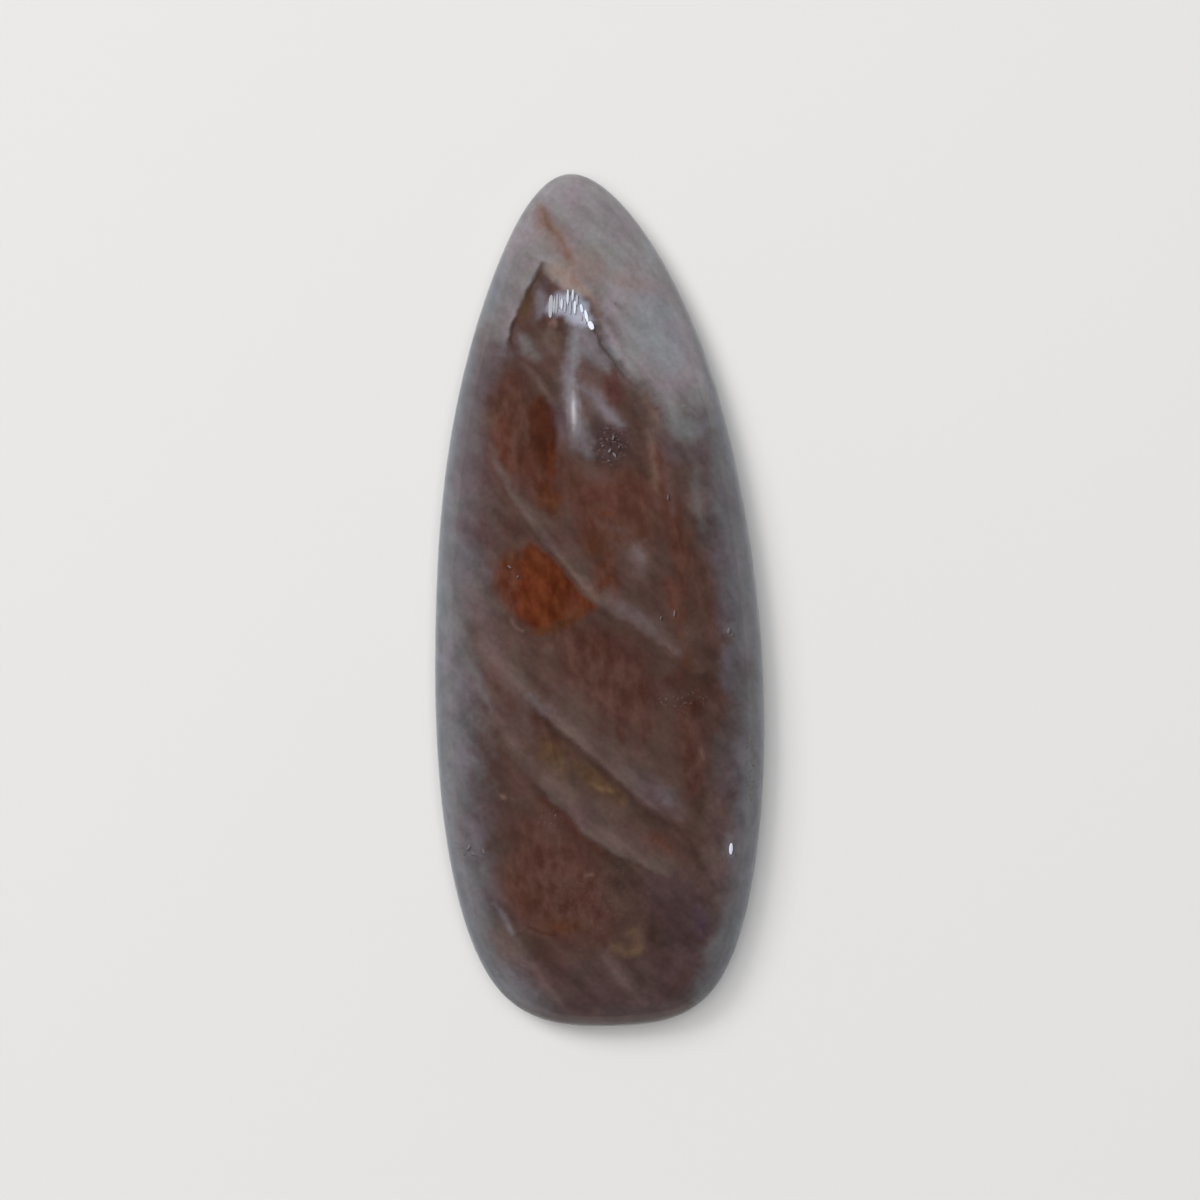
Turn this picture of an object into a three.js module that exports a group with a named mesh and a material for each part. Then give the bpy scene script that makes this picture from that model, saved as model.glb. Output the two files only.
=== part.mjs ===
// Hematoid quartz, cut and polished as a teardrop cabochon: one piece of clear to smoky quartz, clouded
// inside by iron oxides. Millimetres, +Z up. The stone lies on its flat back with the pointed end towards +Y,
// and the origin is in the middle of the back.

import * as THREE from "three";

// Seen from above, the rim is a smooth closed curve that runs a little inside the points that steer it. They
// are the tip, the heel and pairs of points left and right of the long axis, each pair at one y.
const TIP = { y: 27.9, x: -0.5 };
const PAIRS = [
  { y: 19.1, left: -5.4, right: 6.0 },
  { y: 9.1, left: -8.3, right: 8.8 },
  { y: -1.5, left: -9.3, right: 10.1 },
  { y: -13.0, left: -9.5, right: 9.9 },
  { y: -24.6, left: -7.0, right: 7.2 },
];
const HEEL = { y: -25.2, x: 0.7 };

// The stone is widest at its rim, a little above the back, and the dome rises from there.
const RIM_HEIGHT = 1.5;
const DOME_HEIGHT = 4.7;
const DOME_LENGTH_POWER = 2.4; // 2 makes the long profile an ellipse, more keeps it high nearer to the ends
const DOME_TAPER = 0.08; // the share of the dome's height that is taken off at the tip, added at the heel

// Below the rim a rounded edge turns in to the flat back.
const EDGE_SHARE = 0.1; // the edge's width as a share of the half width
const END_EDGE = 0.9; // the edge's width at the tip and the heel

// How finely the surface is divided.
const STEPS_PER_PAIR = 12;
const DOME_STEPS = 44;
const EDGE_STEPS = 4;
const SAME_PLACE = 1e-6; // points nearer than this are one point

// The cross lines that steer the rim, each as (x of the left end, x of the right end, y). Past the tip and
// the heel the nearest pair comes back with its ends swapped, which closes the curve.
function steeringLines() {
  const pairs = PAIRS.map((p) => new THREE.Vector3(p.left, p.right, p.y));
  const swapped = (p) => new THREE.Vector3(p.right, p.left, p.y);
  return [
    swapped(PAIRS[0]),
    new THREE.Vector3(TIP.x, TIP.x, TIP.y),
    ...pairs,
    new THREE.Vector3(HEEL.x, HEEL.x, HEEL.y),
    swapped(PAIRS[PAIRS.length - 1]),
  ];
}

// Weights of four neighbouring points in a uniform cubic B-spline. The curve's bend changes without a jump.
function splineWeights(t) {
  return [
    (1 - t) ** 3 / 6,
    (3 * t ** 3 - 6 * t ** 2 + 4) / 6,
    (-3 * t ** 3 + 3 * t ** 2 + 3 * t + 1) / 6,
    t ** 3 / 6,
  ];
}

// The rim as cross lines from the tip to the heel, moved so that the middle of its bounding box is the
// origin.
function rimLines() {
  const steer = steeringLines();
  const stepCount = (steer.length - 3) * STEPS_PER_PAIR;
  const lines = [];
  for (let step = 0; step <= stepCount; step++) {
    const first = Math.min(Math.floor(step / STEPS_PER_PAIR), steer.length - 4);
    const weights = splineWeights(step / STEPS_PER_PAIR - first);
    const line = new THREE.Vector3();
    weights.forEach((weight, k) => line.addScaledVector(steer[first + k], weight));
    lines.push({ left: line.x, right: line.y, y: line.z });
  }
  const middleX = (Math.min(...lines.map((l) => l.left)) + Math.max(...lines.map((l) => l.right))) / 2;
  const middleY = (lines[0].y + lines[stepCount].y) / 2;
  return lines.map((l) => ({ left: l.left - middleX, right: l.right - middleX, y: l.y - middleY }));
}

// One cross-section in shares: over the dome from the right rim to the left, then under the stone and back.
// across is the share of the half width, rise that of the dome's height and sink that of the rim's height.
// inset is the share of the rounded edge that lies outside the point.
function sectionShares() {
  const shares = [];
  for (let i = 0; i <= DOME_STEPS; i++) {
    const a = (Math.PI * i) / DOME_STEPS;
    shares.push({ across: Math.cos(a), rise: Math.sin(a), sink: 0, inset: 0 });
  }
  const edge = [];
  for (let i = 1; i <= EDGE_STEPS; i++) {
    const a = (Math.PI / 2) * (i / EDGE_STEPS);
    const inset = 1 - Math.cos(a);
    edge.push({ across: 1 - EDGE_SHARE * inset, rise: 0, sink: Math.sin(a), inset });
  }
  shares.push(...edge.map((s) => ({ ...s, across: -s.across })));
  shares.push(...edge.reverse());
  return shares;
}

// The dome's height over the middle of a cross line. along runs from 1 at the tip to -1 at the heel.
function domeHeight(along) {
  const roundEnds = Math.sqrt(Math.max(1 - Math.abs(along) ** DOME_LENGTH_POWER, 0));
  return DOME_HEIGHT * roundEnds * (1 - DOME_TAPER * along);
}

// The skin's points, one ring for each cross line. At the tip and the heel the dome's part of the ring is one
// point.
function skinPoints(lines, shares) {
  const halfLength = lines[0].y;
  const points = [];
  for (const { left, right, y } of lines) {
    const middle = (left + right) / 2;
    const halfWidth = (right - left) / 2;
    const along = y / halfLength;
    const height = domeHeight(along);
    for (const { across, rise, sink, inset } of shares) {
      const x = middle + halfWidth * across;
      const z = RIM_HEIGHT + height * rise - RIM_HEIGHT * sink;
      points.push(new THREE.Vector3(x, y - END_EDGE * inset * along, z));
    }
  }
  return points;
}

// The triangles that join each ring to the next, without those whose corners meet at the tip or the heel.
function skinTriangles(points, ringSize) {
  const triangles = [];
  const addTriangle = (...corners) => {
    const [a, b, c] = corners.map((i) => points[i]);
    const smallest = Math.min(a.distanceTo(b), b.distanceTo(c), c.distanceTo(a));
    if (smallest > SAME_PLACE) triangles.push(...corners);
  };
  for (let ring = 0; ring + ringSize < points.length; ring += ringSize) {
    for (let i = 0; i < ringSize; i++) {
      const next = (i + 1) % ringSize;
      addTriangle(ring + i, ring + next, ring + ringSize + i);
      addTriangle(ring + next, ring + ringSize + next, ring + ringSize + i);
    }
  }
  return triangles;
}

function stoneGeometry() {
  const shares = sectionShares();
  const points = skinPoints(rimLines(), shares);
  const geometry = new THREE.BufferGeometry();
  geometry.setFromPoints(points);
  geometry.setIndex(skinTriangles(points, shares.length));
  geometry.computeVertexNormals();
  return geometry;
}

const polishedQuartz = new THREE.MeshStandardMaterial({
  color: 0x5d4a48,
  roughness: 0.08,
  metalness: 0,
});

const stone = new THREE.Mesh(stoneGeometry(), polishedQuartz);
stone.name = "hematoid_quartz";

const cabochon = new THREE.Group();
cabochon.add(stone);

export default cabochon;
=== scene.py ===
# %% [markdown]
# # A teardrop cabochon of hematoid quartz
#
# The stone is one piece of quartz, cut to a long teardrop, domed and polished. Its outside is clear. A
# little way below the polish, iron oxides cloud the crystal in rust red, ochre and plum, and pale sheets
# cross it where the crystal once stopped growing and went on again. The lesson builds the two things that
# the eye sees: the clear, polished skin, and the clouded mass that shows through it.
#
# The imported model is loaded first. Its box is kept, and the skin is held inside it.

# %% Load the frame
import math
from collections import namedtuple

import bmesh
import bpy
import numpy as np
from mathutils import Matrix, Vector


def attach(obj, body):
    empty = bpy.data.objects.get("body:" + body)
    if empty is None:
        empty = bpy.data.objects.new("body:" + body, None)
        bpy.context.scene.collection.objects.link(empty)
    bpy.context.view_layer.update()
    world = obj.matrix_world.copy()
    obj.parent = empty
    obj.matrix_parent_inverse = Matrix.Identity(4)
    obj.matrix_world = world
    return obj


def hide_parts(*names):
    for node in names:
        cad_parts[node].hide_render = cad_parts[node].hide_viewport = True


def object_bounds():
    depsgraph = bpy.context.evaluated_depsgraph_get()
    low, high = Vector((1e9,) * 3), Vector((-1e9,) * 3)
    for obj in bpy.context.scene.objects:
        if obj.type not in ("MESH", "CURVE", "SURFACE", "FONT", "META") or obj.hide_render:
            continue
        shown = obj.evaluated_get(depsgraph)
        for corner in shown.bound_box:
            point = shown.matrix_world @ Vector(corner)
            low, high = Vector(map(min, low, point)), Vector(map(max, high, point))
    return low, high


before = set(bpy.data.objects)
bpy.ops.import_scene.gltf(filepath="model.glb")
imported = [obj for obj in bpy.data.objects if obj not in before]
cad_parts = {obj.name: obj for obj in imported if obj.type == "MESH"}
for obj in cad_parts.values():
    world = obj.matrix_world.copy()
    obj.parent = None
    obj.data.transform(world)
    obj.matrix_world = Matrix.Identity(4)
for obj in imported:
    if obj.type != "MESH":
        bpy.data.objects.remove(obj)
cad_low, cad_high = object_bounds()
MM = 0.001
print("the solid's box in mm:", [round(size / MM, 2) for size in cad_high - cad_low])

# %% [markdown]
# ## The outline
#
# Seen from above, the stone is a teardrop with soft, slightly uneven sides. It could be a bent circle or
# a drawn curve. A B-spline steered by pairs of points is used here, as in the solid, because its bend
# never jumps, and a jump would show as a kink in every reflection.

# %% Cross lines of the outline
TIP = (-0.5, -0.5, 27.9)
PAIRS = [
    (-5.4, 6.0, 19.1),
    (-8.3, 8.8, 9.1),
    (-9.3, 10.1, -1.5),
    (-9.5, 9.9, -13.0),
    (-7.0, 7.2, -24.6),
]
HEEL = (0.7, 0.7, -25.2)


def cross_lines(step_count):
    """Left end, right end and y of the lines across the stone, from the tip to the heel, in millimetres.

    Each line is a weighted mean of four neighbouring steering lines, with the weights of a uniform cubic
    B-spline. Past each end the nearest pair comes back with its ends swapped, which closes the curve.
    """
    swapped = [(right, left, y) for left, right, y in (PAIRS[0], PAIRS[-1])]
    steering = np.array([swapped[0], TIP, *PAIRS, HEEL, swapped[1]])
    place = np.linspace(0, len(steering) - 3, step_count + 1)
    first = np.minimum(place.astype(int), len(steering) - 4)
    t = (place - first)[:, None]
    lines = (
        (1 - t) ** 3 * steering[first]
        + (3 * t**3 - 6 * t**2 + 4) * steering[first + 1]
        + (-3 * t**3 + 3 * t**2 + 3 * t + 1) * steering[first + 2]
        + t**3 * steering[first + 3]
    ) / 6
    middle_x = (lines[:, 0].min() + lines[:, 1].max()) / 2
    middle_y = (lines[0, 2] + lines[-1, 2]) / 2
    return lines - [middle_x, middle_x, middle_y]


rim = cross_lines(3000)
HALF_LENGTH = rim[0, 2]
print("the outline is", round(np.ptp(rim[:, :2]), 2), "by", round(2 * HALF_LENGTH, 2), "mm")

# %% [markdown]
# ## The dome
#
# A cutter grinds the top to a dome that is highest along the middle and round at both ends. Each
# cross-section is half an ellipse, and its height follows a long, full arc. Two short formulas give every
# height, and the inner mass can use them too.

# %% Height of the dome
RIM_HEIGHT = 1.5
DOME_HEIGHT = 4.7
DOME_LENGTH_POWER = 2.4
DOME_TAPER = 0.08


def crest_height(y):
    """Dome height over a cross line's middle: a superellipse along the stone, a little lower at the tip."""
    along = np.clip(y / HALF_LENGTH, -1, 1)
    round_ends = np.sqrt(1 - np.abs(along) ** DOME_LENGTH_POWER)
    return DOME_HEIGHT * round_ends * (1 - DOME_TAPER * along)


def middle_and_half_width(y):
    """x of the cross line's middle and half its length, read off the outline at any y."""
    left = np.interp(y, rim[::-1, 2], rim[::-1, 0])
    right = np.interp(y, rim[::-1, 2], rim[::-1, 1])
    return (left + right) / 2, (right - left) / 2


print("the crest is", round(float(RIM_HEIGHT + crest_height(np.linspace(-9, 9, 99)).max()), 2), "mm high")

# %% [markdown]
# ## From a grid of points to a closed mesh
#
# Both pieces are rings of points, one ring for each cross line, and at the tip and the heel a ring
# shrinks to a few points. One helper joins the rings with four-sided faces and welds what has come
# together, so nothing stays open.

# %% Ring mesh helper
WELD = 2e-4  # points nearer than this, in millimetres, become one


def add_object(name, data):
    """A new object of the scene, at the origin and unturned."""
    thing = bpy.data.objects.new(name, data)
    bpy.context.scene.collection.objects.link(thing)
    return thing


def store(mesh, name, values):
    """One number for each vertex, kept under a name that a material can read."""
    layer = mesh.attributes.new(name, "FLOAT", "POINT")
    layer.data.foreach_set("value", values.reshape(-1).astype(np.float32))


def ring_mesh(name, rings, part_rings=None, shine=None):
    """A closed, smooth mesh from an array of rings (ring, point on the ring, xyz) in millimetres.

    Face (i, j) joins points j and j + 1 of ring i to the same points of ring i + 1. With part_rings, a part
    ends after every so many rings, and with shine, each point carries a brightness.
    """
    ring_count, ring_size = rings.shape[:2]
    joined = np.arange(ring_count - 1)
    joined = joined[(joined + 1) % (part_rings or ring_count) != 0]
    ring, here = np.meshgrid(joined, np.arange(ring_size), indexing="ij")
    there = (here + 1) % ring_size
    start, after = ring * ring_size, (ring + 1) * ring_size
    faces = np.stack([start + here, start + there, after + there, after + here], axis=-1).reshape(-1, 4)
    mesh = bpy.data.meshes.new(name)
    mesh.vertices.add(ring_count * ring_size)
    mesh.vertices.foreach_set("co", (rings.reshape(-1) * MM).astype(np.float32))
    mesh.loops.add(faces.size)
    mesh.loops.foreach_set("vertex_index", faces.reshape(-1).astype(np.int32))
    mesh.polygons.add(len(faces))
    mesh.polygons.foreach_set("loop_start", np.arange(0, faces.size, 4, dtype=np.int32))
    mesh.update(calc_edges=True)
    if shine is not None:
        store(mesh, "shine", shine)
    welded = bmesh.new()
    welded.from_mesh(mesh)
    bmesh.ops.remove_doubles(welded, verts=welded.verts, dist=WELD * MM)
    bmesh.ops.recalc_face_normals(welded, faces=welded.faces)
    welded.to_mesh(mesh)
    open_edges = sum(not edge.is_manifold for edge in welded.edges)
    welded.free()
    mesh.shade_smooth()
    piece = add_object(name, mesh)
    triangles = sum(len(face.vertices) - 2 for face in mesh.polygons)
    print(name, "has", triangles, "triangles and", open_edges, "open edges")
    return piece


# %% [markdown]
# ## The polished skin
#
# The skin goes over the dome, round the edge below the rim and across the flat back. Its section is given
# in shares of the half width and of the heights, so one list serves every cross line from the tip to the
# heel.

# %% Section of the stone
EDGE_SHARE = 0.1
END_EDGE = 0.9


def section_shares(dome_steps, edge_steps, back_steps):
    """Share of the half width, of the dome height, of the depth below the rim, and of the edge's inset.

    The dome is a half circle in shares, the edge a quarter circle on each side, and the back a straight line.
    """
    dome = np.linspace(0, np.pi, dome_steps + 1)
    turn = np.linspace(0, np.pi / 2, edge_steps + 1)[1:]
    inset = 1 - np.cos(turn)
    back = np.linspace(-1, 1, back_steps + 1)[1:-1] * (1 - EDGE_SHARE)
    across = np.concatenate([np.cos(dome), EDGE_SHARE * inset - 1, back, 1 - EDGE_SHARE * inset[::-1]])
    rise = np.concatenate([np.sin(dome), np.zeros(2 * edge_steps + back_steps - 1)])
    sink = np.concatenate([0 * dome, np.sin(turn), np.ones(back_steps - 1), np.sin(turn[::-1])])
    inset = np.concatenate([0 * dome, inset, np.ones(back_steps - 1), inset[::-1]])
    return across, rise, sink, inset


# %% Skin of the stone
def skin_rings(line_steps, dome_steps, edge_steps, back_steps):
    """The skin as rings: middle plus share times half width, and rim height plus dome height minus sink."""
    left, right, y = cross_lines(line_steps).T[:, :, None]
    across, rise, sink, inset = section_shares(dome_steps, edge_steps, back_steps)
    x = (left + right) / 2 + (right - left) / 2 * across
    z = RIM_HEIGHT + crest_height(y) * rise - RIM_HEIGHT * sink
    return np.stack([x, y - END_EDGE * inset * y / HALF_LENGTH, z + 0 * x], axis=-1)


low, high = np.array(cad_low) / MM, np.array(cad_high) / MM
quartz = ring_mesh("quartz", np.clip(skin_rings(300, 150, 14, 24), low, high))
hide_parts("hematoid_quartz")
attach(quartz, "root")

# %% [markdown]
# ## Marks along curves
#
# Everything inside the stone is a mark along a curve. A smear has soft sides. A sheet, which is a healed
# crack or an old crystal face seen aslant, or the painted shade below such a face, has one sharp edge and
# fades on the other side. Both need only the distance from a point to a curve.

# %% Curves and distances
def smooth_curve(points, steps=6):
    """A Catmull-Rom curve through the points: each stretch is a cubic that leans on its two neighbours."""
    p = np.array(points, float)
    p = np.vstack([2 * p[0] - p[1], p, 2 * p[-1] - p[-2]])
    t = np.linspace(0, 1, steps, endpoint=False)[:, None]
    stretches = [
        0.5 * (2 * b + (c - a) * t + (2 * a - 5 * b + 4 * c - d) * t**2 + (3 * b - a - 3 * c + d) * t**3)
        for a, b, c, d in zip(p[:-3], p[1:-2], p[2:-1], p[3:])
    ]
    return np.vstack([*stretches, p[-2:-1]])


def distance_to(curve, xy):
    """Distance to the curve, positive on its left, and the share of the way along it, for many points."""
    nearest = np.full(len(xy), 1e9)
    side = np.ones(len(xy))
    along = np.zeros(len(xy))
    reach = np.concatenate([[0], np.cumsum(np.hypot(*np.diff(curve, axis=0).T))])
    for i, (start, end) in enumerate(zip(curve[:-1], curve[1:])):
        step = end - start
        offset = xy - start
        t = np.clip(offset @ step / (step @ step), 0, 1)
        gap = offset - t[:, None] * step
        distance = np.hypot(gap[:, 0], gap[:, 1])
        closer = distance < nearest
        nearest[closer] = distance[closer]
        side[closer] = np.sign(step[0] * offset[closer, 1] - step[1] * offset[closer, 0] + 1e-12)
        along[closer] = (reach[i] + t[closer] * (reach[i + 1] - reach[i])) / reach[-1]
    return nearest * side, along


def smooth_step(low, high, value):
    """0 below low, 1 above high, and 3t2 - 2t3 in between."""
    t = np.clip((value - low) / (high - low), 0, 1)
    return t * t * (3 - 2 * t)


# %% [markdown]
# ## Ripples
#
# No line in a crystal is ruled, and no cloud has an even edge. A ripple, a seeded sum of sine waves,
# pushes all points about a little before any distance is measured, and a finer one frays the soft sides
# of the marks.

# %% Ripples
def ripple(xy, wavelength, seed, waves=28):
    """A smooth random field around 0: the scaled sum of sine waves with random directions and phases."""
    random = np.random.default_rng(seed)
    angle = random.uniform(0, 2 * np.pi, waves)
    number = 2 * np.pi / (wavelength * random.uniform(0.6, 1.6, waves))
    phase = random.uniform(0, 2 * np.pi, waves)
    steps = zip(number * np.cos(angle), number * np.sin(angle), phase)
    return sum(np.sin(u * xy[:, 0] + v * xy[:, 1] + p) for u, v, p in steps) * math.sqrt(2 / waves)


WIDE_PUSH, FINE_PUSH = 0.05, 0.02  # millimetres


def bend(xy):
    """The points, pushed about by a wide and a fine ripple."""
    wide = np.stack([ripple(xy, 2.6, 1), ripple(xy, 2.6, 2)], axis=-1)
    fine = np.stack([ripple(xy, 0.8, 3), ripple(xy, 0.8, 4)], axis=-1)
    return xy + WIDE_PUSH * wide + FINE_PUSH * fine


def fray(xy):
    """Three ripples of falling size and length, for the edges of soft marks."""
    return 0.5 * ripple(xy, 1.3, 5) + 0.35 * ripple(xy, 0.6, 6) + 0.25 * ripple(xy, 0.3, 7)


# %% [markdown]
# ## Two kinds of mark
#
# The marks are laid in order, and a later one covers an earlier one. A mark has a name, a mineral,
# lengths in millimetres, a strength and its curve's points on the stone, seen from above.

# %% Smears and sheets
Mark = namedtuple("Mark", "kind name mineral first second strength curve")
marks = []


def smear(name, mineral, half, soft, strength, *points):
    """A stroke whose cover falls from full to nothing between half - soft and half + soft from its curve."""
    marks.append(Mark("smear", name, mineral, half, soft, strength, smooth_curve(points)))


def sheet(name, mineral, sharp, fade, strength, *points):
    """A face, or the painted shade below one, with one sharp edge, which fades over a length to the curve's
    left, or its right if negative.
    """
    marks.append(Mark("sheet", name, mineral, sharp, fade, strength, smooth_curve(points)))


def shifted(points, right, up):
    """The same points, moved: a shade lies beside the sheet that throws it."""
    return [(x + right, y + up) for x, y in points]


# %% [markdown]
# ## The broad clouds
#
# First come the wide washes: clear quartz in the tip and down the right shoulder, lilac-grey quartz along
# both sides, and red-brown iron through the middle.

# %% The broad clouds
smear("clear tip", "clear", 3.75, 0.35, 1, (-0.4, 25.3), (-0.3, 22.4), (-0.3, 19.6))
smear("clear shoulder", "clear", 2.58, 0.7, 1, (0.9, 22.7), (2.9, 18.2), (4.8, 14.5), (6.1, 12.2))
smear("clear strip on the left", "clear", 1.11, 0.64, 0.95, (-3.8, 21.3), (-4.5, 19.9), (-4.9, 18.3),
      (-5.7, 16.9))
smear("left side", "slate", 1.64, 1.41, 0.9, (-6.7, 14.9), (-7.4, 10.2), (-7.7, 4.9), (-7.8, 0.3),
      (-8.5, -6.7), (-8.5, -11.3), (-8.1, -16), (-7, -20.2), (-4.6, -23.4))
smear("lilac on the left", "lilac", 0.94, 0.82, 0.75, (-5.3, 14.8), (-6.1, 11.3), (-6.6, 7.8), (-7.1, 3.8))
smear("rosy left of the column field", "red", 0.53, 0.53, 0.5, (-5.6, 9.5), (-6.2, 6.8), (-6.2, 4.3),
      (-5.9, 2.5))
smear("pale left flank", "veil", 1.52, 1.17, 0.6, (-7.5, 0.9), (-6.5, -2.1), (-5.5, -5), (-4.7, -7.3))
smear("left edge haze", "fog", 0.94, 0.82, 0.7, (-8.1, 6.1), (-8.7, 0.3), (-8.9, -5.5), (-8.9, -11.3),
      (-8.4, -16), (-7.1, -20), (-5.1, -22.8))
smear("right side", "slate", 1.41, 1.17, 0.9, (7.3, 8.4), (7.9, 5.5), (8.2, 1.4), (8.4, -2.7))
smear("veil on the right shoulder", "veil", 0.76, 0.7, 0.7, (5.7, 8.6), (6.1, 5))
smear("fog on the right side", "fog", 0.7, 0.94, 0.5, (7.6, 9), (8.2, 4.9), (8.5, 0.2), (8.6, -3.3))
smear("right side, low", "slate", 0.94, 1.05, 0.9, (8.6, -5.6), (8.5, -10.8), (8, -15.5), (7.3, -19),
      (5.6, -22.8))
smear("slate patch on the right", "slate", 0.82, 0.64, 0.35, (7, -8.2), (6.9, -11.3))
smear("slate by the right spark", "slate", 0.64, 0.53, 0.8, (7.6, -3), (7.7, -5.6))
smear("veil low on the right side", "veil", 0.82, 0.7, 0.65, (6.3, -12.2), (6.4, -14.8), (6.1, -17.7),
      (5.3, -20.2))
smear("veil low on the left side", "veil", 0.94, 0.7, 0.85, (-6.3, -18.7), (-5.4, -20.6))
smear("right edge haze", "fog", 1, 0.82, 0.75, (8.5, 9.1), (9.1, 4.3), (9.4, -0.4), (9.3, -6.2), (9, -12),
      (8.2, -16.7), (7, -20.1), (5.3, -23))
smear("red-brown column field", "red", 1.52, 0.82, 0.95, (-4.4, 12.6), (-4.6, 10), (-4, 7.7), (-2.7, 5.9))
smear("orange-brown middle", "rust", 2.34, 1.05, 0.6, (-0.4, 6.3), (1.3, 5.4), (2.7, 4.2))
smear("brown middle", "red", 2.11, 1.29, 0.85, (-1.5, -2.3), (0.1, -4), (2.3, -7))
smear("brown lower body", "red", 2.58, 1.29, 0.9, (-4, -13.7), (-3, -16.4), (-1, -18.5))
smear("smoky left edge", "lilac", 0.64, 0.7, 0.85, (-6.7, 9.2), (-7.1, 6.1), (-7.3, 3.8))
smear("smoky left edge, low", "lilac", 0.53, 0.7, 0.6, (-8.4, -11.8), (-8.3, -14.3))
smear("plum foot", "plum", 1.99, 1.29, 0.6, (-2.9, -22.3), (0.5, -22.7), (4.1, -21.1))
smear("plum lower right", "plum", 1.64, 1.05, 0.75, (2.8, -16.3), (4.2, -18.1), (4.7, -20.5))

# %% [markdown]
# ## The clear tip
#
# In the tip the quartz is nearly clear, with one rusty thread, a peach glow and patches of milk and fog.

# %% The clear tip
smear("streak's haze", "cinnamon", 0.7, 0.64, 0.5, (-2.3, 22.3), (-0.7, 19.6))
smear("rust streak, upper end", "cinnamon", 0.29, 0.23, 0.6, (-2.3, 23), (-1.8, 21.8))
smear("rust streak", "cinnamon", 0.2, 0.21, 0.75, (-2.2, 22.7), (-1.8, 21.8), (-1.4, 21.1), (-1, 20.4),
      (-0.4, 19.5))
smear("core of the streak", "red", 0.07, 0.14, 0.22, (-2.09, 22.39), (-1.65, 21.46), (-1.16, 20.65),
      (-0.72, 19.92))
smear("peach by the apex", "peach", 0.59, 0.76, 0.75, (-1.7, 19.1), (-0.4, 18.2))
smear("sandy haze right of the streak", "cinnamon", 0.7, 0.7, 0.5, (-0.1, 20), (0.4, 19.3), (0.6, 18.5))
smear("sand thread", "peach", 0.14, 0.18, 0.5, (-0.3, 18.5), (0.2, 17.8), (0.7, 16.9), (0.9, 16.1))
smear("blue patch on the right", "milk", 0.23, 0.29, 0.8, (3.6, 20.5), (4, 19.6))
smear("fog in the tip", "fog", 0.7, 0.7, 0.3, (1.4, 23), (2.1, 21.6))
smear("rosy shade", "peach", 0.47, 0.59, 0.3, (1.8, 18.7), (3.8, 17.9))
smear("milk cloud", "milk", 1.41, 0.94, 0.9, (3.7, 16.9), (4.7, 13.6))
smear("green-grey cloud", "fog", 0.76, 0.82, 0.6, (4.6, 11.6), (5.4, 10.8), (6.2, 10.8))
smear("pink light beside the wall", "clear", 0.64, 0.59, 0.85, (2.6, 13.9), (4.4, 11.5), (4.8, 10.5))
smear("clear beside the right edge", "clear", 0.88, 0.7, 0.85, (5.9, 13.4), (6.8, 11.8), (7.2, 10.6))
smear("foot of the clear zone", "fog", 0.7, 0.64, 0.95, (4.2, 10.1), (5.5, 9.6), (6.9, 10), (7.8, 10.7))
smear("lilac foot", "lilac", 0.53, 0.59, 0.85, (3.8, 8.9), (5.3, 8.2), (6.8, 8.4))

# %% [markdown]
# ## The inner point
#
# Inside the clear tip stands the point of an older, smoky crystal. Its two walls are sheets with a sharp
# edge and a dark line, and its inside is a patchwork of brown, red, grey-green and haze, with a painted
# sheen and a painted glow under the fan of glints.

# %% The inner point
sheet("right wall", "smoke", 0.07, -1.64, 0.97, (-2.44, 19.06), (-2.05, 18.45), (-1.37, 18.06),
      (-0.74, 17.8), (-0.18, 17.3), (0.2, 16.64), (0.51, 15.81), (0.82, 14.87), (1.15, 14.22),
      (1.69, 13.44), (2.3, 12.73), (2.91, 11.95), (3.34, 11.19), (3.65, 10.37))
LEFT_WALL = [(-2.44, 19.06), (-2.87, 18.44), (-3.3, 17.7), (-3.8, 16.79), (-4.18, 16), (-4.33, 15.12),
             (-4.18, 14.41), (-3.73, 13.8)]
sheet("left wall", "smoke", 0.07, 1.64, 0.97, *LEFT_WALL)
sheet("clear beside the left wall", "clear", 0.09, -1.41, 0.95, (-2.23, 20.06), (-2.49, 19.36),
      (-2.86, 18.62), (-3.3, 17.88), (-3.79, 17.03), (-4.17, 16.17), (-4.5, 15.14), (-4.72, 14.09))
smear("lilac foot of the left strip", "lilac", 0.64, 0.7, 1, (-6.8, 14.5), (-5.6, 14.7), (-4.5, 14.5))
smear("green-grey in the left strip", "fog", 0.53, 0.59, 0.7, (-4.1, 20.1), (-4.7, 18.2), (-5.3, 16.4))
# Painted reflection: the rim's blue-grey at the left edge of the tip.
smear("blue in the left strip", "rim", 0.23, 0.41, 0.8, (-4.8, 19.5), (-5.1, 18.2), (-5.5, 17))
smear("inside of the point", "lilac", 0.53, 0.41, 0.9, (-2.5, 18.2), (-2.5, 17.1), (-2.7, 16.4))
smear("grey inside the point", "haze", 0.29, 0.29, 0.7, (-2.5, 17.8), (-2.6, 16.6))
smear("dark apex", "plum", 0.23, 0.18, 0.8, (-2.4, 18.8), (-1.9, 18))
smear("left wall's line", "dark", 0.08, 0.09, 0.6, *shifted(LEFT_WALL[:-1], 0.04, 0.02))
smear("brown inside the left wall", "ochre", 0.29, 0.23, 0.7, (-3.1, 17.9), (-3.8, 16.4))
smear("dark line by the light", "plum", 0.08, 0.09, 0.6, (-2.26, 17.46), (-2.34, 16.88), (-2.42, 16.18))
smear("green-grey spot", "fog", 0.35, 0.47, 0.6, (-3.8, 15.4), (-2.8, 14.2))
smear("brown ground below", "veil", 0.47, 0.35, 0.75, (-2.3, 15.7), (-1.7, 14.2))
smear("ochre in the brown ground", "ochre", 0.18, 0.23, 0.4, (-1.9, 15.3), (-1.7, 14.7))
smear("dark spot", "ember", 0.21, 0.23, 0.45, (-2.4, 16.2), (-2.3, 15.7))
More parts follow.
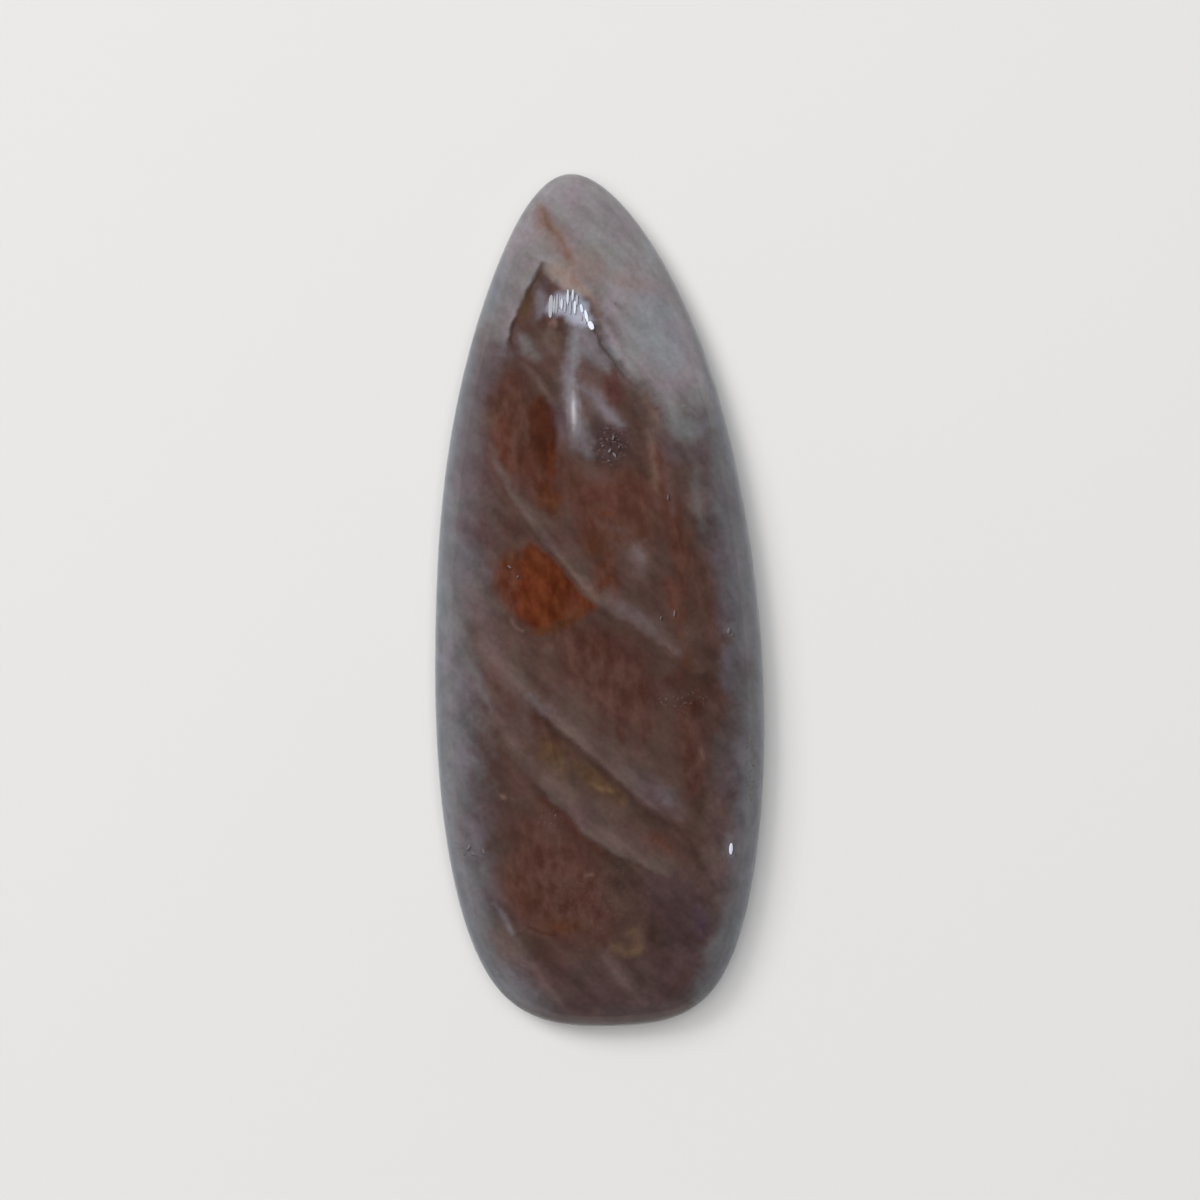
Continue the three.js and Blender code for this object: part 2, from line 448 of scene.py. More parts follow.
smear("peach spot", "peach", 0.18, 0.23, 0.5, (-1.9, 16.2), (-1.7, 15.9))
smear("veil in the point", "veil", 0.94, 0.82, 0.85, (-0.1, 14.7), (0.2, 13.1), (0.1, 11.6), (1, 10.1))
# Painted sheen: pale bluish light under the fan, beside the wall and down to the crest.
smear("lilac haze under the light", "haze", 0.7, 0.64, 0.8, (-0.5, 16.2), (0.3, 14.2))
smear("haze beside the wall", "haze", 0.41, 0.35, 0.7, (0.2, 14.8), (1.1, 13.3))
smear("haze down to the crest", "milk", 0.29, 0.53, 0.75, (-0.5, 15.4), (-1, 12.7))
# Painted highlight: a pale glow round the fan of glints.
smear("ground of the light", "glow", 0.67, 0.29, 0.97, (-2, 16.9), (-0.9, 17.1), (0, 16.2))
smear("clear by the wall", "clear", 0.35, 0.35, 0.85, (1, 15.9), (1.7, 14.4), (2.9, 12.8))
smear("grey of the wall", "fog", 0.18, 0.21, 0.55, (0.6, 15.2), (1.1, 14.2), (1.7, 13.4), (2.4, 12.6),
      (3, 11.7))
smear("pale strip beyond the wall", "milk", 0.23, 0.29, 0.6, (1.1, 15.2), (1.9, 13.8))
smear("right wall's line", "dark", 0.08, 0.08, 0.65, (0.29, 16.05), (0.61, 15.28), (0.93, 14.63),
      (1.25, 14.04), (1.74, 13.27), (2.35, 12.55), (2.9, 11.84))
smear("pale hook", "veil", 0.16, 0.2, 0.65, (-3.8, 13.8), (-3.1, 13.1), (-2.4, 12.2), (-1.9, 11.1))
smear("wine blotch", "wine", 0.47, 0.35, 0.9, (1, 12.7), (1.4, 12.1), (1.7, 11.2))
smear("rosy strip at the wall", "veil", 0.29, 0.29, 0.75, (2.1, 12.5), (2.8, 11.6), (3.3, 10.4))
smear("veil at the foot of the wall", "veil", 0.53, 0.53, 0.7, (3.6, 10.2), (4.3, 9.3))
smear("pink strip beyond it", "cinnamon", 0.18, 0.29, 0.5, (3.1, 11.9), (3.7, 10.8), (3.9, 10))

# %% [markdown]
# ## The first sheet
#
# The first pale sheet sweeps down from the upper left, thin and bright along its lower edge.

# %% The first sheet
sheet("first sheet", "veil", 0.09, 0.64, 0.8, (-6.64, 11.42), (-6.09, 9.97), (-5.67, 8.61), (-5.3, 7.54),
      (-4.81, 6.59), (-4.21, 5.58), (-3.61, 4.57), (-2.96, 3.56), (-2.3, 2.73), (-1.58, 1.84),
      (-0.87, 0.95), (-0.15, 0))
smear("first sheet's edge", "veil", 0.18, 0.26, 0.55, (-6.1, 10), (-5.6, 8.7), (-5.1, 7.7), (-4.6, 6.6),
      (-4, 5.6), (-3.4, 4.7), (-2.7, 3.7), (-2.1, 2.9))
smear("first sheet over the patch", "cinnamon", 0.12, 0.18, 0.4, (-2.1, 2.7), (-1.4, 1.9), (-0.7, 1),
      (-0.2, 0.2))

# %% [markdown]
# ## Hazes along the crest
#
# Along the crest, soft bluish hazes lie over plum-coloured quartz; the long one is a painted sheen of the
# streak that the polish mirrors there.

# %% Hazes along the crest
smear("plum right of the crest", "plum", 1.17, 0.7, 0.75, (0.8, 10.3), (1.4, 8.1))
# Painted sheen: pale bluish light down the crest, with the mirrored streak.
smear("long haze", "haze", 0.47, 0.53, 0.8, (-1.2, 13.2), (-1, 11.6), (-0.6, 9.8), (-0.1, 8.5))
smear("second haze", "haze", 0.29, 0.41, 0.75, (-0.2, 12.2), (0.6, 11.4), (1.8, 10))
smear("pale left of the crest", "lilac", 0.35, 0.41, 0.8, (-1.8, 11.4), (-1.6, 9.9), (-1.3, 8.7))

# %% [markdown]
# ## The ember column
#
# A dark red-brown column runs down from the inner point and ends in ochre.

# %% The ember column
smear("ember wing", "ember", 0.41, 0.47, 0.65, (-3.8, 8.8), (-3.4, 7.4))
smear("rosy left of the column", "rust", 0.53, 0.41, 0.6, (-5.1, 10.6), (-4.9, 9.1), (-4.5, 7.9))
smear("ember column", "ember", 0.7, 0.35, 0.93, (-2.7, 11.6), (-2.5, 7.7))
smear("brown right of the ember", "red", 0.35, 0.35, 0.8, (-1.5, 9), (-1.6, 7.9), (-1.4, 7))
smear("glow in the ember", "orange", 0.26, 0.29, 0.6, (-2.3, 9), (-2.2, 7.9), (-2.3, 7.1))
smear("ochre under the ember", "umber", 0.59, 0.64, 0.9, (-2.8, 6.8), (-2.1, 5.3))
smear("column's left edge", "ember", 0.09, 0.09, 0.7, (-3.17, 11.79), (-3.27, 10.51), (-3.33, 8.89))

# %% [markdown]
# ## The middle
#
# The middle is orange-brown, with a faint umber ring, orange flecks and a lilac-blue spot.

# %% The middle
smear("rose haze over the middle", "veil", 0.29, 0.41, 0.35, (-0.5, 8), (0.3, 7.2), (1.2, 6.9))
smear("rib over the ring", "veil", 0.18, 0.29, 0.4, (0.4, 4.2), (1.2, 4), (2.1, 3.9))
smear("orange flecks", "orange", 0.14, 0.15, 0.5, (0.3, 5), (0.8, 4.9), (1.2, 4.9))
smear("orange ring", "umber", 0.59, 0.59, 0.7, (-0.3, 3.6), (0.6, 2.6))
smear("orange under the ring", "rust", 0.59, 0.59, 0.7, (0.8, 2.3), (0.5, 1.2), (1, 0.5))
smear("lilac spot", "veil", 0.64, 0.59, 0.65, (2.5, 3), (2.6, 1.2))
smear("blue in the lilac spot", "haze", 0.23, 0.29, 0.3, (2.5, 2.8), (2.7, 2.1))
smear("reddish loop", "orange", 0.14, 0.15, 0.5, (0.3, 0.8), (0.9, 1.3), (1.4, 1), (1.2, 0.4))

# %% [markdown]
# ## The right column
#
# A streaky, rust-coloured column follows the right side of the middle.

# %% The right column
smear("brown column", "rust", 0.59, 0.47, 0.6, (3.8, 8.5), (4.1, 6.8), (4.5, 5), (5, 2.7), (5.1, 0.4))
smear("pale streak in the column", "cinnamon", 0.23, 0.26, 0.45, (3.3, 9.7), (3.6, 8.5), (3.6, 7.4),
      (3.6, 6.3))
smear("second strip of the column", "veil", 0.23, 0.26, 0.5, (4.2, 8.6), (4.4, 6.8), (4.7, 4.7))
smear("green-grey right of the column", "fog", 0.29, 0.35, 0.4, (6, 7.3), (6.1, 5.5), (6.3, 3.8))
smear("brown right of the column", "red", 0.64, 0.7, 0.75, (5.8, 2.1), (6.2, 0.3), (6.3, -2))
smear("rusty foot", "rust", 0.53, 0.47, 0.8, (4.2, 0.7), (4.9, -2.5))
smear("umber foot", "umber", 0.29, 0.47, 0.65, (4.7, -2), (5.1, -3.3), (4.9, -4.4))

# %% [markdown]
# ## The rust patch
#
# The strongest colour of the stone is a patch of orange iron oxide. Its left side is paler, and its edges
# are dark.

# %% The rust patch
smear("pale rust at the left", "rust", 0.94, 0.53, 0.95, (-4.7, 2.6), (-4.8, 1.3), (-4.5, -0.1))
sheet("straight edge of the patch", "orange", 0.09, -1.76, 0.95, (-3.76, 3.83), (-3.09, 3.17),
      (-2.42, 2.45), (-1.76, 1.62), (-1.1, 0.78), (-0.44, 0), (0.11, -0.7))
smear("rust patch", "orange", 1.35, 0.35, 0.97, (-3.7, 1.8), (-2.2, -0.3))
smear("patch's top", "orange", 0.41, 0.29, 0.8, (-3.8, 2.9), (-3.2, 2.3))
smear("patch's lower left", "orange", 1, 0.29, 0.95, (-3.9, 0.4), (-3.3, -0.6), (-2.4, -0.8))
smear("dark edge of the patch", "ember", 0.09, 0.18, 0.6, (-3.5, 3.4), (-2.8, 2.6), (-2.1, 1.8), (-1.4, 1),
      (-0.8, 0.2))
smear("heart's shade", "ember", 0.41, 0.41, 0.35, (-2.3, 0.8), (-1.7, 0.1), (-2, -0.6))
smear("dark lower rim", "umber", 0.26, 0.23, 0.95, (-0.8, -0.6), (-1.8, -1.3), (-2.8, -1.6), (-3.6, -1.7))
smear("bright fringe", "peach", 0.08, 0.09, 0.35, (-4.87, -0.92), (-4.71, -1.38), (-4.31, -1.63))
smear("rosy spot under the patch", "cinnamon", 0.23, 0.26, 0.3, (-2.8, -2.4), (-2.6, -2.8))

# %% [markdown]
# ## The wedge
#
# The first sheet ends in a pale wedge with a sharp lower edge, and a painted shadow darkens the ground below
# it.

# %% The wedge
smear("sandy end of the sheet", "cinnamon", 0.2, 0.29, 0.5, (-0.5, 0.8), (0.2, -0.2))
sheet("wedge", "veil", 0.09, 1.29, 0.85, (-0.1, -0.06), (0.63, -0.61), (1.47, -1.21), (2.36, -1.88),
      (3.26, -2.5), (4.16, -3.17), (4.95, -3.83))
smear("wedge's pale fill", "fog", 0.29, 0.41, 0.3, (1.3, -0.5), (2.3, -1.1), (3.3, -2))
# Painted shadow: a dark sheet below the wedge's sharp edge.
sheet("dark ground below the wedge", "dark", 0.08, -1.05, 0.4, (-0.22, -0.23), (0.56, -0.78), (1.46, -1.39),
      (2.36, -2.06), (3.25, -2.78), (4.15, -3.51), (5.27, -4.37), (6.56, -4.43))
smear("brown ground of the middle", "ember", 0.82, 0.82, 0.35, (-0.7, -1.7), (2.1, -3.3))
smear("dark right of the middle", "ember", 0.64, 0.7, 0.45, (4.4, -4.7), (6.5, -5.5))

# %% [markdown]
# ## The second sheet
#
# The second sheet is the widest. Ochre lies in the shade below it.

# %% The second sheet
smear("veil into the second sheet", "veil", 0.53, 0.53, 0.8, (-6.9, -1.4), (-5.9, -3), (-4.9, -4.4),
      (-4, -5.4))
smear("pale line into the third sheet", "fog", 0.18, 0.23, 0.45, (-8, -2), (-7.4, -3.4), (-6.8, -4.8),
      (-6.1, -6.2))
smear("brown between the lines", "red", 0.35, 0.35, 0.4, (-6.6, -3.3), (-5.7, -5), (-4.8, -6.3))
SECOND_SHEET = [(-4.12, -5.5), (-3.45, -6.27), (-2.67, -7.04), (-1.9, -7.82), (-1.12, -8.54),
                (-0.28, -9.26), (0.55, -10.05), (1.38, -10.89), (2.22, -11.68), (3, -12.35), (3.91, -12.8),
                (5.18, -13.1)]
sheet("second sheet", "veil", 0.08, 1.52, 0.9, *SECOND_SHEET)
smear("pale top of the second sheet", "haze", 0.18, 0.29, 0.35, (-4.1, -5.3), (-3.4, -6), (-2.8, -6.6))
smear("dark fleck in the sheet", "ember", 0.18, 0.21, 0.6, (0.9, -7.4), (1.2, -8), (1.3, -8.3))
smear("veil to the lilac end", "lilac", 0.59, 0.7, 0.6, (1.9, -10.3), (3.8, -12))
smear("lilac end of the sheet", "haze", 0.35, 0.53, 0.4, (3.4, -11), (3.9, -11.8))
sheet("shade below the second sheet", "dark", 0.08, -0.53, 0.6, *shifted(SECOND_SHEET, 0.1, -0.3))
smear("brown wedge", "red", 0.29, 0.29, 0.7, (-3.8, -6.5), (-3.2, -7.5), (-2.4, -8.3), (-1.4, -9.2))
smear("ochre field", "ochre", 0.64, 0.53, 0.9, (-3.2, -8.1), (-2.3, -9.9))
smear("ochre under the sheet", "ochre", 0.47, 0.41, 0.9, (-1.5, -9.5), (-0.6, -10.2), (1, -11.6))
smear("bright ochre thread", "sand", 0.11, 0.13, 0.6, (-0.6, -10.5), (-0.1, -10.8), (0.5, -11.1))

# %% [markdown]
# ## The third sheet
#
# The third sheet runs below the second and ends in a dark shadow.

# %% The third sheet
smear("veil into the third sheet", "veil", 0.29, 0.35, 0.7, (-6, -6.5), (-5.2, -7.8), (-4.6, -8.9),
      (-3.8, -10))
THIRD_SHEET = [(-4.17, -9.77), (-3.51, -10.6), (-2.91, -11.48), (-2.19, -12.26), (-1.52, -12.97),
               (-0.86, -13.64), (-0.08, -14.3), (0.71, -14.8), (1.74, -15.19), (2.76, -15.71),
               (4.01, -16.36)]
sheet("third sheet", "veil", 0.08, 1.29, 0.9, *THIRD_SHEET)
smear("pale fill of the third sheet", "veil", 0.64, 0.53, 0.6, (-1.9, -11.5), (-0.7, -12.4), (1.5, -14.4))
sheet("shade below the third sheet", "ember", 0.08, -0.53, 0.6, *shifted(THIRD_SHEET[1:8], -0.12, -0.13))
smear("dark shadow under its end", "dark", 0.23, 0.35, 0.5, (0.1, -15.1), (0.9, -15.3), (2, -16.1))
smear("dark smear lower", "dark", 0.35, 0.47, 0.42, (0.1, -16.2), (2.1, -16.6))
smear("rusty spot on the right", "rust", 0.47, 0.53, 0.6, (2.7, -13.8), (3.7, -14.7))

# %% [markdown]
# ## The right side and the heel
#
# Red and plum fields, an ochre smear, a sand-coloured blotch and pale streaks fill the lower body.

# %% The right side and the heel
smear("red field on the right", "red", 0.82, 0.59, 0.85, (4.8, -6.9), (5.2, -9), (5.2, -11.2))
smear("bright strip on the right", "peach", 0.11, 0.14, 0.3, (5.7, -8.7), (5.8, -9.4))
smear("dark ground of the right", "dark", 0.35, 0.47, 0.35, (6.2, -4.6), (6.3, -5.5), (5.9, -6.2))
smear("umber above the red field", "ember", 0.41, 0.47, 0.6, (4.6, -6.2), (5.9, -6.4))
smear("reddish lower left", "rust", 0.53, 0.7, 0.35, (-5.9, -15.9), (-4.6, -17.7))
smear("umber smear", "umber", 0.35, 0.35, 0.7, (-3.5, -18.7), (-2.8, -18.8), (-2, -18.6))
smear("line under the smear", "ember", 0.08, 0.09, 0.6, (-4.54, -18.85), (-3.85, -19.1), (-3.05, -19.23))
smear("sand blotch", "sand", 0.32, 0.41, 0.5, (0.3, -20.1), (1.1, -20.4), (1.9, -20.3))
smear("sand blotch, upper part", "sand", 0.26, 0.35, 0.45, (1.2, -19.3), (1.6, -19.2), (1.7, -20))
smear("dark by the blotch", "dark", 0.29, 0.29, 0.6, (2.4, -18.4), (2.6, -19.2), (2.3, -19.9))
smear("dark over the foot", "dark", 0.7, 0.59, 0.35, (3.2, -18.2), (4, -19.1), (4.2, -19.9))
smear("violet", "violet", 0.35, 0.41, 0.8, (5.3, -18.1), (5.4, -18.8), (5.3, -19.5))
smear("grey-green right foot", "fog", 0.47, 0.59, 0.45, (5.9, -20.4), (5.6, -21.2))
smear("rose streak", "haze", 0.14, 0.2, 0.6, (-6.6, -17.4), (-6, -18.2), (-5.5, -19.1))
smear("second rose streak", "veil", 0.23, 0.29, 0.75, (-4.6, -20.9), (-3.9, -22), (-3.2, -23.3))
smear("third rose streak", "veil", 0.35, 0.41, 0.75, (-0.4, -20.4), (0.6, -21.8), (1.8, -23.5))
# Painted shade: a dark band along the heel, where the end slopes steeply away.
smear("heel's brown edge", "dark", 0.18, 0.23, 0.5, (-3.3, -24.5), (-0.7, -24.9), (2.2, -24.8),
      (4.4, -24.4))
smear("reddish edge of the heel", "red", 0.23, 0.23, 0.6, (-2.3, -24), (-0.5, -24.2), (1.6, -24.3))

# %% [markdown]
# ## Painted glow and flecks
#
# A painted glow of pale light lies round the two brightest glints that come later, and a few
# peach-coloured flecks lie in the quartz.

# %% Hazes and flecks
# Painted highlight: a pale glow round the two brightest glints.
smear("haze round the brightest spark", "haze", 0.35, 0.35, 0.7, (7.1, -14), (7.2, -15.2))
smear("haze round the right spark", "haze", 0.35, 0.35, 0.5, (7.4, -1.8), (7.8, -2.4))
smear("fleck on the left", "peach", 0.12, 0.14, 0.5, (-5.8, -11.1), (-5.6, -11.3))
smear("fleck in the lower body", "peach", 0.12, 0.14, 0.35, (-1.3, -15.7), (-0.8, -15.8))

# %% [markdown]
# ## Specks
#
# In some places the quartz is full of specks, pale and dark, too many to place by hand. These marks only
# say where, and the material scatters them.

# %% Specks
smear("specks below the crest", "specks", 0.88, 0.59, 0.55, (1, 9.6), (1.5, 8))
smear("specks in the middle", "specks", 0.59, 0.47, 0.35, (3.7, -6), (6, -6))
smear("specks by the third sheet", "specks", 0.47, 0.41, 0.35, (-3.3, -12.1), (-2.8, -12.8))
smear("specks on the right edge", "specks", 0.23, 0.29, 0.8, (8.5, -8.2), (8.6, -10.2), (8.5, -12))
smear("specks on the left", "specks", 0.47, 0.47, 0.5, (-8.3, -13.4), (-7.9, -14.5))
smear("specks in the lower body", "specks", 1.76, 0.94, 0.1, (-2.7, -16.1), (-0.4, -17.3), (2.5, -15.1))
print(len(marks), "marks inside the stone")

# %% [markdown]
# ## Minerals and their colours
#
# Iron gives quartz most of its colours: hematite rust and wine red, goethite ochre, and scattered specks
# of both turn it lilac or smoky. Each mineral here has a darker and a lighter screen colour, and the
# material moves between the two. The shares of all minerals add up to one at every point. Two entries
# are painted light rather than minerals, glow and rim; haze and dark also serve as painted sheen and
# painted shade.

# %% Minerals
MINERALS = {
    "smoke": ((74, 52, 46), (92, 68, 61)),
    "clear": ((129, 122, 123), (147, 140, 143)),
    "milk": ((136, 134, 140), (150, 148, 155)),
    "fog": ((108, 105, 106), (124, 121, 124)),
    # haze: milky quartz, and also the painted sheen under the fan, along the crest and round the glints
    "haze": ((116, 110, 114), (134, 128, 134)),
    # glow: a painted glow of light round the fan of glints
    "glow": ((148, 149, 163), (182, 183, 200)),
    "slate": ((90, 84, 88), (108, 103, 109)),
    "lilac": ((86, 71, 73), (104, 90, 93)),
    "veil": ((92, 73, 69), (112, 92, 88)),
    "peach": ((140, 110, 98), (162, 132, 120)),
    "cinnamon": ((118, 92, 78), (136, 110, 98)),
    "red": ((76, 43, 33), (97, 66, 57)),
    "rust": ((84, 41, 24), (106, 66, 54)),
    "orange": ((82, 31, 6), (108, 54, 28)),
    "ember": ((60, 25, 10), (80, 38, 21)),
    "umber": ((76, 39, 17), (94, 55, 34)),
    "ochre": ((78, 54, 36), (100, 74, 52)),
    "sand": ((104, 80, 56), (130, 104, 78)),
    "wine": ((78, 44, 42), (96, 60, 58)),
    "plum": ((68, 50, 50), (88, 68, 70)),
    "violet": ((78, 58, 70), (94, 74, 88)),
    # dark: dark quartz and lines, and also the painted shade below the sheets and along the heel
    "dark": ((46, 32, 28), (64, 46, 40)),
    # rim: a painted reflection of the pale surroundings, laid along the rim
    "rim": ((100, 105, 116), (118, 123, 136)),
}
NAMES = list(MINERALS)
END_NARROWING = 0.5  # share of its width that a smear loses towards its ends
SMEAR_FRAY, SHEET_FRAY = 0.18, 0.03  # a share of the soft width, and millimetres


def cover_of(mark, xy, frayed):
    """How much of its mineral a mark lays at each point, from 0 to 1.

    A smear narrows towards its ends and falls smoothly across half - soft to half + soft. A sheet jumps up at
    its edge, fades as exp(-(d / fade) ** 1.5) and thins out at its ends. Points far from the curve stay at 0.
    """
    kind, _, _, first, second, strength, curve = mark
    margin = first + 3 * abs(second)
    near = np.all((xy > curve.min(0) - margin) & (xy < curve.max(0) + margin), axis=1)
    distance, along = distance_to(curve, xy[near])
    cover = np.zeros(len(xy))
    if kind == "smear":
        half = first * (1 - END_NARROWING * (2 * along - 1) ** 4)
        distance = np.abs(distance) + SMEAR_FRAY * second * frayed[near]
        cover[near] = strength * (1 - smooth_step(half - second, half + second, distance))
    else:
        distance = distance * np.sign(second) + SHEET_FRAY * frayed[near]
        fade = np.exp(-((np.maximum(distance, 0) / abs(second)) ** 1.5))
        ends = smooth_step(0, 0.1, along) * (1 - smooth_step(0.9, 1, along))
        cover[near] = strength * smooth_step(-first, first, distance) * fade * ends
    return np.clip(cover, 0, 1)


def mineral_shares(xy):
    """Each mineral's share at each point. A mark takes its cover from all shares and gives it to its own."""
    bent, frayed = bend(xy), fray(xy)
    shares = np.zeros((len(xy), len(NAMES)))
    shares[:, NAMES.index("smoke")] = 1
    for mark in marks:
        if mark.mineral in MINERALS:
            cover = cover_of(mark, bent, frayed)
            shares *= (1 - cover)[:, None]
            shares[:, NAMES.index(mark.mineral)] += cover
    return shares


# %% [markdown]
# ## The clouded mass
#
# The iron clouds lie a few tenths of a millimetre under the polish, and deeper under the clear tip. A
# solid mass of the stone's own form, slightly smaller, carries them. Its top sinks under the clear quartz
# and steps down along the lower edge of each pale sheet, so the sheets catch the light as they do in the
# stone.

# %% Relief of the mass
GAP = 0.35  # depth of the mass under the polish
SIDE_GAP = 0.12  # and inside the rim
FLOOR_GAP = 0.25  # and above the back
CLEAR_DEPTH = 0.4
SHEET_STEP = 0.22
STEP_LENGTH = 1.6  # over which a step eases out
LUMPS = 0.012
DEEPEST_SHARE = 0.6  # the relief takes no more than this share of the height


def clear_depth(xy):
    """0 to 1: the clear marks' largest cover, cut back by the walls of the inner point."""
    cover = np.zeros(len(xy))
    no_fray = np.zeros(len(xy))
    for mark in marks:
        if mark.mineral == "clear":
            cover = np.maximum(cover, cover_of(mark, xy, no_fray))
        if mark.kind == "sheet" and mark.mineral == "smoke":
            cover = cover * (1 - cover_of(mark, xy, no_fray))
    return cover


def sheet_depth(xy):
    """Over the pale sheets, a step that is deepest at the sharp edge and eases out away from it."""
    depth = np.zeros(len(xy))
    for mark in marks:
        if mark.kind == "sheet" and mark.mineral == "veil":
            distance, along = distance_to(mark.curve, xy)
            ends = smooth_step(0, 0.2, along) * (1 - smooth_step(0.8, 1, along))
            below = smooth_step(-0.2, 0.2, -distance) * np.exp(-np.maximum(-distance, 0) / STEP_LENGTH)
            depth = np.maximum(depth, SHEET_STEP * ends * below)
    return depth


# %% Rings of the mass
EVEN_SHARE = 0.6  # how evenly the points lie across: 1 would leave the steep sides coarse


def mass_rings(line_count, top_steps, edge_steps, back_steps):
    """The mass as rings, crowded at the ends by t (5 - t4) / 4: the skin's law, less gaps and relief."""
    t = np.linspace(-1, 1, line_count)[::-1, None]
    y = HALF_LENGTH * t * (5 - t**4) / 4
    middle, half = middle_and_half_width(y)
    across, rise, sink, inset = section_shares(top_steps, edge_steps, back_steps)
    even = np.linspace(1, -1, top_steps + 1)
    across[: top_steps + 1] = EVEN_SHARE * even + (1 - EVEN_SHARE) * across[: top_steps + 1]
    rise[: top_steps + 1] = np.sqrt(np.maximum(1 - across[: top_steps + 1] ** 2, 0))
    x = middle + (half - SIDE_GAP * half / half.max()) * across
    y_in = (y - END_EDGE * inset * y / HALF_LENGTH) * (1 - SIDE_GAP / HALF_LENGTH)
    xy = np.stack([x, y_in], axis=-1).reshape(-1, 2)
    bent = bend(xy)
    relief = CLEAR_DEPTH * clear_depth(bent) + sheet_depth(bent) + LUMPS * (1 + fray(xy))
    height = crest_height(y) * (1 - GAP / DOME_HEIGHT)
    sunk = np.minimum(relief.reshape(x.shape), DEEPEST_SHARE * height) * rise
    z = RIM_HEIGHT + height * rise - sunk
    z = z - (RIM_HEIGHT - FLOOR_GAP) * sink
    return np.stack([x, y_in, z], axis=-1)


iron_clouds = ring_mesh("iron_clouds", mass_rings(560, 152, 6, 12))
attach(iron_clouds, "root")

# %% [markdown]
# ## Laying the minerals onto the mass
#
# The marks could be painted on an image, but an image has one resolution and needs unwrapping. Here every
# vertex stores the share of each mineral as an attribute, and the material reads them back. Along the rim
# a last share is a painted reflection: it turns the stone blue-grey, as the steep sides mirror the pale
# surroundings.

# %% Mineral attributes
HEEL_STRETCH, TIP_STRETCH = (-24.2, -21.5), (12, 18)  # y between which the pale rim comes and thins again
TIP_LOSS = 0.6
PALE_FROM, PALE_TO, PALE_FRAY = 0.1, 1.0, 0.08  # distances from the rim for full and no cover
RIM_REFLECTION_COVER = 0.9
count = len(iron_clouds.data.vertices)
place = np.zeros(count * 3, np.float32)
iron_clouds.data.vertices.foreach_get("co", place)
place = place.reshape(-1, 3) / MM
xy = place[:, :2].astype(float)
shares = mineral_shares(xy)
middle, half = middle_and_half_width(xy[:, 1])
side_room = np.maximum(half - np.abs(xy[:, 0] - middle), 0) + PALE_FRAY * fray(xy)
rim_reflection_stretch = smooth_step(*HEEL_STRETCH, xy[:, 1]) * (1 - TIP_LOSS * smooth_step(*TIP_STRETCH, xy[:, 1]))
# Painted reflection: the rim share lays blue-grey where the steep sides mirror the pale surroundings.
painted_rim_reflection = RIM_REFLECTION_COVER * (1 - smooth_step(PALE_FROM, PALE_TO, side_room)) * rim_reflection_stretch
shares *= (1 - painted_rim_reflection)[:, None]
shares[:, NAMES.index("rim")] += painted_rim_reflection
speck_marks = [mark for mark in marks if mark.mineral == "specks"]
speck_share = np.max([cover_of(mark, bend(xy), fray(xy)) for mark in speck_marks], axis=0)
for name, share in zip(NAMES + ["specks"], [*shares.T, speck_share]):
    store(iron_clouds.data, name, share)
print("mean shares:", {name: round(float(share), 3) for name, share in zip(NAMES, shares.mean(0))})

# %% [markdown]
# ## The finish of the clouds
#
# The colour is the sum of each mineral's colour times its share, worked out twice, once with the darker
# and once with the lighter colours. Noise moves between the two sums. Under magnification the clouds are
# streaks of specks, so one noise is drawn out along the sheets, one stands nearly upright as the iron
# columns do, and a fine one gives the specks.

# %% Material helpers
def linear(colour):
    """A screen colour of 0 to 255 as linear light: ((c + 0.055) / 1.055) ** 2.4, or c / 12.92 if dark."""
    c = np.array(colour) / 255
    light = np.where(c > 0.04045, ((c + 0.055) / 1.055) ** 2.4, c / 12.92)
    return tuple(float(v) for v in light)


def screen_colour(colour):
    """A screen colour as a colour socket wants it: linear light and full cover."""
    return (*linear(colour), 1)


def new_material(name):
    """A material, its nodes and links, and its Principled shader. The helpers below add to the newest one."""
    material = bpy.data.materials.new(name)
    material.use_nodes = True
    nodes, links = material.node_tree.nodes, material.node_tree.links
    return material, nodes, links, nodes["Principled BSDF"]


def fill(node, settings):
    """Each socket takes its setting: a link from another socket, or else a fixed value."""
    for name, setting in settings.items():
        if isinstance(setting, bpy.types.NodeSocket):
            links.new(setting, node.inputs[name])
        else:
            node.inputs[name].default_value = setting


def add_node(kind, settings, **options):
    """A node of a kind with its options set and its sockets filled."""
    node = nodes.new("ShaderNode" + kind)
    for option, choice in options.items():
        setattr(node, option, choice)
    fill(node, settings)
    return node


def attribute(name):
    """The numbers that the vertices keep under a name."""
    return add_node("Attribute", {}, attribute_name=name).outputs["Fac"]


def noise_at(size, detail, turn=0, stretch=1):
    """Noise with features of a size in millimetres, drawn out by a factor along a direction in degrees."""
    turned = {"Rotation": (0, 0, math.radians(turn)), "Scale": (stretch, 1, 1), "Vector": where}
    mapping = add_node("Mapping", turned, vector_type="TEXTURE")
    noise = {"Scale": 1 / (size * MM), "Detail": detail, "Roughness": 0.5, "Vector": mapping.outputs[0]}
    return add_node("TexNoise", noise).outputs["Fac"]


def map_range(value, start, end, low=0.0, high=1.0, interpolation="LINEAR"):
    """The range from start to end, stretched along a straight or a smooth curve to low and high."""
    ends = {"Value": value, "From Min": start, "From Max": end, "To Min": low, "To Max": high}
    return add_node("MapRange", ends, interpolation_type=interpolation).outputs[0]


def mixed(factor, first, second):
    """A colour between two others: (1 - factor) times the first plus factor times the second."""
    return add_node("Mix", {"Factor": factor, "A": first, "B": second}, data_type="RGBA").outputs["Result"]


def combine(operation, first, second):
    """Two colours added or multiplied, channel by channel."""
    return add_node("VectorMath", {0: first, 1: second}, operation=operation).outputs[0]


clouds, nodes, links, shader = new_material("iron_clouds")
where = add_node("TexCoord", {}).outputs["Object"]

